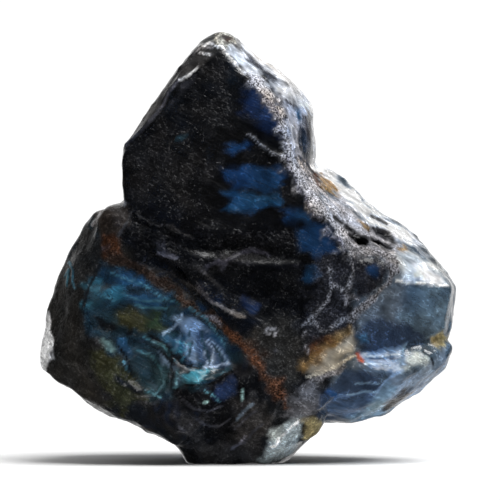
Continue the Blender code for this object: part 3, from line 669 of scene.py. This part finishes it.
def shifted(points, amount=1.0):
    """Photograph places moved a little by noise, so that no painted edge is straight."""
    coarse = np.stack([soft_noise(points, 0.30, salt) for salt in (61, 62)], axis=1) - 0.5
    fine = np.stack([soft_noise(points, 0.09, salt) for salt in (63, 64)], axis=1) - 0.5
    return photo_places(points) + amount * (5.0 * coarse + 2.5 * fine)


def unevenness(points, size, salt):
    """Noise round 0, mostly from -1 to 1."""
    return 4.0 * (layered_noise(points, size, 3, salt) - 0.5)


def streaked(places):
    """The places moved sideways by noise, row by row."""
    rows = np.stack([places[:, 1], 0 * places[:, 1], places[:, 0] * 0.02], axis=1)
    height, shift = STREAK_PIXELS
    moved = places.copy()
    moved[:, 0] += shift * (layered_noise(rows, height, 2, 67) - 0.5)
    return moved


def lay(paint, mask, colour, clear, crust):
    """Lays one colour and finish over the paint where the mask is."""
    finish = np.array(list(colour) + [clear, crust])
    paint += mask[:, None] * (finish - paint)


def base_paint(points):
    """The colours of the masses, the same on every side. Columns are red, green, blue, clear, crust."""
    paint = np.zeros((len(points), 5))
    warp = np.stack([layered_noise(points, 1.1, 2, salt) for salt in (81, 82)], axis=1) - 0.5
    places = photo_places(points) + 30 * warp
    lighter = smoothstep(layered_noise(points, 1.3, 4, 51), 0.48, 0.60)
    for dark, light, outline in ZONES.values():
        mask = patch_mask(places, outline, 6)
        lay(paint, mask, dark, 0.35, 0.12)
        lay(paint, mask * lighter, light, 0.8, 0.0)
    return paint


def back_paint(paint, points, behind, convex):
    """Blue windows, crust on the worn edges and rust in patches, on the sides and the back."""
    # The blue of the windows is partly the stone's own colour and partly painted light shining through it.
    windows = smoothstep(layered_noise(points, 1.2, 4, 53), 0.46, 0.58)
    lay(paint, 0.85 * windows * behind, BACK_BLUE, 0.8, 0.0)
    bright = smoothstep(layered_noise(points, 0.9, 4, 55), 0.58, 0.68)
    lay(paint, 0.7 * bright * windows * behind, TURQUOISE, 0.6, 0.0)
    crusted = smoothstep(layered_noise(points, 1.4, 3, 91), 0.52, 0.66) * smoothstep(convex, -0.2, 0.9)
    lay(paint, 0.8 * crusted * behind, DUST_AND_GLINT_GREY, 0.0, 0.9)
    rusted = smoothstep(layered_noise(points, 1.7, 4, 95), 0.58, 0.66)
    lay(paint, 0.6 * rusted * behind, DARK_RUST, 0.0, 0.6)


def stroke_masks(points, places):
    """The finish, height and mask of each line of the front. Granular lines wander more."""
    uneven = unevenness(points, 0.13, 58)
    steady = shifted(points, STEADY_SHIFT)
    for colour, clear, crust, width, lift, *lines in STROKES.values():
        where = places if crust > WANDERING_CRUST else steady
        ragged = (LINE_RAGGED + CRUST_RAGGED * crust) * uneven
        for line in lines:
            yield colour, clear, crust, lift, stroke_mask(where, line, width, ragged)


def front_paint(paint, points, places, front):
    """The windows, stains, ledges and crusts that the photograph shows."""
    uneven = unevenness(points, 0.24, 45)
    for colour, clear, crust, edge, outline in WINDOWS.values():
        mask = patch_mask(streaked(places), outline, edge, WINDOW_RAGGED * uneven)
        lay(paint, mask * front, colour, clear, crust)
    for colour, clear, crust, edge, outline in PATCHES.values():
        mask = patch_mask(places, outline, edge, PATCH_RAGGED * uneven)
        lay(paint, mask * front, colour, clear, crust)
    for colour, origin, reach, middle, spread, ray_width in FANS.values():
        mask = fan_mask(places, origin, reach, middle, spread, ray_width)
        lay(paint, FAN_COVER * mask * front, colour, 0.1, 0.0)
    for colour, clear, crust, _, mask in stroke_masks(points, places):
        lay(paint, mask * front, colour, clear, crust)


def front_relief(points, places):
    """The height in mm of the lines, rays and ripples of the front."""
    height = np.zeros(len(places))
    for _, _, _, lift, mask in stroke_masks(points, places):
        height += lift * mask
    for _, origin, reach, middle, spread, ray_width in FANS.values():
        height += FAN_HEIGHT_MM * fan_mask(places, origin, reach, middle, spread, ray_width)
    for centre, start, end, width, lift in RIPPLES.values():
        height += lift * ripple_mask(places, centre, start, end, width)
    return height


def smooth_masks(places):
    """How smooth and how levelled each place is."""
    smooth = np.zeros(len(places))
    level = np.zeros(len(places))
    for edge, levelled, outline in SMOOTH_PLACES.values():
        mask = patch_mask(places, outline, edge)
        smooth = np.maximum(smooth, mask)
        level = np.maximum(level, levelled * mask)
    return smooth, level


def facing_front(points, normal):
    """1 on what the photograph shows, fading out round the sides and towards the back.

    Faces that look forwards or upwards keep the painting of the front further back than side faces.
    """
    near = 1 - smoothstep(points[:, 1], *NEAR_MM)
    toward = 0.35 * np.abs(normal[:, 2]) + 0.4 * near - normal[:, 1]
    reach = 0.8 * np.clip(np.maximum(-normal[:, 1], normal[:, 2]), 0, 1)
    depth = points[:, 1] - reach + 0.4 * unevenness(points, 0.6, 31)
    return smoothstep(toward, -0.15, 0.15) * (1 - smoothstep(depth, *FADE_MM))


def stone_copy():
    """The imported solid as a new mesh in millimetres, at an even fine grain."""
    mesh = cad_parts["sapphire"].data.copy()
    mesh.materials.clear()
    mesh.transform(scale_matrix(1.0 / MM))
    stone = bpy.data.objects.new("sapphire_stone", mesh)
    bpy.context.scene.collection.objects.link(stone)
    remesh = stone.modifiers.new("grain", "REMESH")
    remesh.mode = "VOXEL"
    remesh.voxel_size = GRAIN_MM
    remesh.use_smooth_shade = True
    graph = bpy.context.evaluated_depsgraph_get()
    fine = bpy.data.meshes.new_from_object(stone.evaluated_get(graph))
    stone.modifiers.clear()
    stone.data = fine
    return stone


def carve(mesh):
    """Adds the shells, ripples and grains to the fine mesh."""
    points = smoothed(mesh, positions(mesh), SMOOTHING_ROUNDS)
    set_positions(mesh, points)
    normal = outward(mesh)
    front = smoothstep(-normal[:, 1], -0.05, 0.25)
    places = shifted(points)
    smooth, level = smooth_masks(places)
    levelled = smoothed(mesh, points, LEVELLING_ROUNDS)
    points = points + (level * front)[:, None] * (levelled - points)
    warp_size, warp_reach = BROKEN_WARP
    warp = np.stack([soft_noise(points, warp_size, salt) for salt in (1, 2, 3)], axis=1) - 0.5
    broken = points + warp_reach * warp
    rough = (0.25 + 0.75 * soft_noise(points, 1.6, 9)) * (1 - 0.8 * front * smooth)
    height = np.zeros(len(points))
    for size, lift, salt in SCOOPS:
        height += lift * (scoops(broken, size, salt) - SCOOP_MIDDLE)
    height += GRAIN_HEIGHT_MM * (layered_noise(points, GRAIN_SIZE_MM, 3, 40) - 0.5)
    height = height * rough + front * front_relief(points, places)
    points = points + normal * height[:, None]
    points[:, 2] = np.maximum(points[:, 2], 0.0)
    set_positions(mesh, points)


def bulging(mesh, points, normal):
    """How far each vertex stands out from its neighbours, mostly from -1 to 1."""
    bulge = ((points - smoothed(mesh, points, 6)) * normal).sum(axis=1)
    return bulge / np.percentile(np.abs(bulge), 95)


def shade_sides(paint, normal, front):
    """Darkens what turns away from the photograph, and makes the underside opaque."""
    turned = np.maximum(1.6 * smoothstep(normal[:, 0] + normal[:, 1], 0.5, 1.0),
                        front * smoothstep(normal[:, 1], -0.30, 0.10))
    paint[:, :3] *= (1 - SIDE_SHADE * turned)[:, None]
    paint[:, 3] *= 1 - smoothstep(-normal[:, 2], 0.6, 0.85)


def paint_stone(mesh):
    """Stores the colour, the clearness and the crust of each vertex."""
    points = positions(mesh)
    normal = outward(mesh)
    convex = bulging(mesh, points, normal)
    front = facing_front(points, normal)
    paint = base_paint(points)
    back_paint(paint, points, 1 - front, convex)
    front_paint(paint, points, shifted(points), front)
    shade_sides(paint, normal, front)
    # Pale lilac on the ridges: partly wear, partly a painted highlight along them.
    worn = smoothstep(convex, 0.5, 1.6) * smoothstep(layered_noise(points, 0.5, 3, 99), 0.4, 0.6)
    lay(paint, WORN_AND_HIGHLIGHT_COVER * worn, LILAC, 0.0, 0.6)
    mottle = 0.7 + 0.6 * layered_noise(points, 0.16, 2, 77)
    warmth = unevenness(points, 0.7, 78)[:, None] * np.array(WARMTH)
    colour = np.ones((len(points), 4))
    colour[:, :3] = np.clip(paint[:, :3] * (1 + warmth) * mottle[:, None] * PAINT_GAIN, 0, 0.9)
    mesh.attributes.new("tint", "FLOAT_COLOR", "POINT").data.foreach_set("color", colour.ravel())
    mesh.attributes.new("clear", "FLOAT", "POINT").data.foreach_set("value", paint[:, 3])
    mesh.attributes.new("crust", "FLOAT", "POINT").data.foreach_set("value", paint[:, 4])


def add_node(tree, kind, **settings):
    """A new node with some of its settings changed."""
    node = tree.nodes.new(kind)
    for name, value in settings.items():
        setattr(node, name, value)
    return node


def attribute(tree, name):
    """The node that reads an attribute of the mesh."""
    return add_node(tree, "ShaderNodeAttribute", attribute_type="GEOMETRY", attribute_name=name)


def noise(tree, size_mm, detail, stretch=(1.0, 1.0, 1.0)):
    """Noise in the stone's own space, from about 0.25 to 0.75. A stretch draws it out down to the right."""
    coordinate = tree.nodes.new("ShaderNodeTexCoord")
    mapping = add_node(tree, "ShaderNodeMapping", vector_type="TEXTURE")
    mapping.inputs["Rotation"].default_value = (0, STREAK_TILT, 0)
    mapping.inputs["Scale"].default_value = stretch
    tree.links.new(coordinate.outputs["Object"], mapping.inputs["Vector"])
    texture = tree.nodes.new("ShaderNodeTexNoise")
    texture.inputs["Scale"].default_value = 1.0 / (size_mm * MM)
    texture.inputs["Detail"].default_value = detail
    tree.links.new(mapping.outputs[0], texture.inputs["Vector"])
    return texture.outputs["Fac"]


def math_node(tree, operation, first, second):
    """Arithmetic on sockets or numbers."""
    node = add_node(tree, "ShaderNodeMath", operation=operation)
    for socket, value in zip(node.inputs, (first, second)):
        if isinstance(value, float):
            socket.default_value = value
        else:
            tree.links.new(value, socket)
    return node.outputs[0]


def ranged(tree, value, low, high, start, end):
    """Value from low to high becomes start to end."""
    node = tree.nodes.new("ShaderNodeMapRange")
    for name, number in zip(("From Min", "From Max", "To Min", "To Max"), (low, high, start, end)):
        node.inputs[name].default_value = number
    tree.links.new(value, node.inputs["Value"])
    return node.outputs[0]


def between(tree, factor, first, second):
    """A number that goes from first to second as the factor rises."""
    node = tree.nodes.new("ShaderNodeMix")
    tree.links.new(factor, node.inputs["Factor"])
    for name, value in (("A", first), ("B", second)):
        if isinstance(value, float):
            node.inputs[name].default_value = value
        else:
            tree.links.new(value, node.inputs[name])
    return node.outputs["Result"]


def mineral_colour(tree, granular, fine, grains, slow, streaks):
    """The painted colour: streaks and threads where it is smooth, specks in the crust, and dust."""
    gentle = ranged(tree, slow, 0.3, 0.7, 0.6, 1.4)
    gentle = math_node(tree, "MULTIPLY", gentle, ranged(tree, streaks, 0.3, 0.7, 0.75, 1.25))
    crinkles = noise(tree, *CRINKLE_NOISE)
    off_middle = math_node(tree, "ABSOLUTE", math_node(tree, "SUBTRACT", crinkles, 0.5), 0.0)
    threads = math_node(tree, "MULTIPLY", ranged(tree, off_middle, 0.0, 0.016, 2.2, 0.0),
                        ranged(tree, slow, 0.42, 0.58, 0.0, 1.0))
    gentle = math_node(tree, "ADD", gentle, threads)
    spotted = math_node(tree, "ADD", math_node(tree, "MULTIPLY", fine, 1.35),
                        math_node(tree, "MULTIPLY", grains, 0.65))
    specks = ranged(tree, spotted, 0.84, 1.24, 0.12, 2.8)
    colour = add_node(tree, "ShaderNodeVectorMath", operation="SCALE")
    tree.links.new(attribute(tree, "tint").outputs["Color"], colour.inputs[0])
    tree.links.new(between(tree, granular, gentle, specks), colour.inputs["Scale"])
    dust = math_node(tree, "MULTIPLY", ranged(tree, fine, 0.585, 0.68, 0.0, 0.06),
                     ranged(tree, slow, 0.45, 0.60, 0.1, 1.0))
    dusted = add_node(tree, "ShaderNodeVectorMath", operation="ADD")
    tree.links.new(colour.outputs[0], dusted.inputs[0])
    tree.links.new(dust, dusted.inputs[1])
    return dusted.outputs[0]


def mineral_bump(tree, granular, fine, grains, slow, streaks):
    """Faint waves where the surface is smooth and sharp grains where it is granular."""
    low_relief = math_node(tree, "MULTIPLY", math_node(tree, "ADD", slow, streaks), 0.3)
    high_relief = math_node(tree, "ADD", grains, math_node(tree, "MULTIPLY", fine, 0.5))
    bump = tree.nodes.new("ShaderNodeBump")
    bump.inputs["Strength"].default_value = BUMP_STRENGTH
    bump.inputs["Distance"].default_value = BUMP_MM * MM
    tree.links.new(between(tree, granular, low_relief, high_relief), bump.inputs["Height"])
    return bump.outputs[0]


def sapphire_material():
    """See-through blue corundum with a dark worn skin, grey crust and stains."""
    material = bpy.data.materials.new("sapphire")
    material.use_nodes = True
    tree = material.node_tree
    shader = tree.nodes["Principled BSDF"]
    fine = noise(tree, *FINE_NOISE)
    grains = noise(tree, *GRAIN_NOISE)
    slow = noise(tree, *SLOW_NOISE)
    streaks = noise(tree, *STREAK_NOISE)
    clear = attribute(tree, "clear").outputs["Fac"]
    crust = attribute(tree, "crust").outputs["Fac"]
    edge = math_node(tree, "ADD", crust, ranged(tree, grains, 0.3, 0.7, -0.28, 0.28))
    granular = ranged(tree, edge, 0.3, 0.7, 0.0, 1.0)

    colour = mineral_colour(tree, granular, fine, grains, slow, streaks)
    tree.links.new(colour, shader.inputs["Base Color"])
    see_through = math_node(tree, "MULTIPLY", clear, math_node(tree, "SUBTRACT", 1.0, granular))
    tree.links.new(see_through, shader.inputs["Transmission Weight"])
    skin = ranged(tree, slow, 0.3, 0.7, *SKIN_ROUGHNESS)
    polished = between(tree, clear, skin, CLEAR_ROUGHNESS)
    tree.links.new(between(tree, granular, polished, CRUST_ROUGHNESS), shader.inputs["Roughness"])
    bump = mineral_bump(tree, granular, fine, grains, slow, streaks)
    tree.links.new(bump, shader.inputs["Normal"])
    shader.inputs["IOR"].default_value = REFRACTIVE_INDEX
    shader.inputs["Specular IOR Level"].default_value = GLOSS

    volume = tree.nodes.new("ShaderNodeVolumeAbsorption")
    volume.inputs["Color"].default_value = ABSORPTION_COLOUR
    volume.inputs["Density"].default_value = ABSORPTION_DENSITY
    tree.links.new(volume.outputs[0], tree.nodes["Material Output"].inputs["Volume"])
    return material


def make_camera():
    """A long lens in front of the stone, framed as in the photograph."""
    data = bpy.data.cameras.new("camera")
    data.lens = LENS_MM
    data.sensor_width = SENSOR_MM
    data.clip_start = 0.001
    data.clip_end = 10.0
    camera = bpy.data.objects.new("camera", data)
    bpy.context.scene.collection.objects.link(camera)
    distance = PHOTO_WIDTH_MM * LENS_MM / SENSOR_MM
    camera.location = Vector((PHOTO_CENTRE_MM[0], -distance, PHOTO_CENTRE_MM[1])) * MM
    camera.rotation_euler = (math.radians(90), 0, 0)
    bpy.context.scene.camera = camera


def make_floor():
    """A plain pale disc under the stone, hidden from the reflections on it."""
    bpy.ops.mesh.primitive_circle_add(vertices=96, radius=FLOOR_RADIUS, fill_type="NGON")
    floor = bpy.context.object
    floor.name = "floor"
    material = bpy.data.materials.new("floor")
    material.use_nodes = True
    shader = material.node_tree.nodes["Principled BSDF"]
    shader.inputs["Base Color"].default_value = (0.95, 0.95, 0.95, 1)
    shader.inputs["Roughness"].default_value = 0.9
    floor.data.materials.append(material)
    floor.visible_glossy = False


def make_world():
    """Soft light: bright behind the stone, dim in front of it, and white wherever the camera sees it."""
    world = bpy.data.worlds.new("studio")
    bpy.context.scene.world = world
    world.use_nodes = True
    tree = world.node_tree
    background = tree.nodes["Background"]
    background.inputs["Color"].default_value = (1, 1, 1, 1)
    coordinate = tree.nodes.new("ShaderNodeTexCoord")
    split = tree.nodes.new("ShaderNodeSeparateXYZ")
    tree.links.new(coordinate.outputs["Generated"], split.inputs[0])
    behind = ranged(tree, split.outputs["Y"], 0.70, 0.98, *LIGHT_BEHIND)
    above = ranged(tree, split.outputs["Z"], 0.5, 1.0, *LIGHT_ABOVE)
    light = math_node(tree, "ADD", behind, above)
    path = tree.nodes.new("ShaderNodeLightPath")
    seen = between(tree, path.outputs["Is Camera Ray"], light, SEEN_WHITE)
    tree.links.new(seen, background.inputs["Strength"])


def make_light(name, location, size, power):
    """A square soft light that faces the stone."""
    data = bpy.data.lights.new(name, "AREA")
    data.size = size
    data.energy = power
    light = bpy.data.objects.new(name, data)
    light.location = location
    bpy.context.scene.collection.objects.link(light)
    aim = Vector(STONE_MIDDLE) - Vector(location)
    light.rotation_euler = aim.to_track_quat("-Z", "Y").to_euler()


stone = stone_copy()
carve(stone.data)
paint_stone(stone.data)
stone.data.set_sharp_from_angle(angle=math.radians(CREASE_DEGREES))
stone.data.materials.append(sapphire_material())
stone.data.transform(scale_matrix(MM))
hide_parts("sapphire")
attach(stone, "root")
make_camera()
make_floor()
make_world()
make_light("overhead", OVERHEAD_PLACE, OVERHEAD_SIZE, OVERHEAD_POWER)
bpy.context.scene.view_settings.view_transform = "Standard"
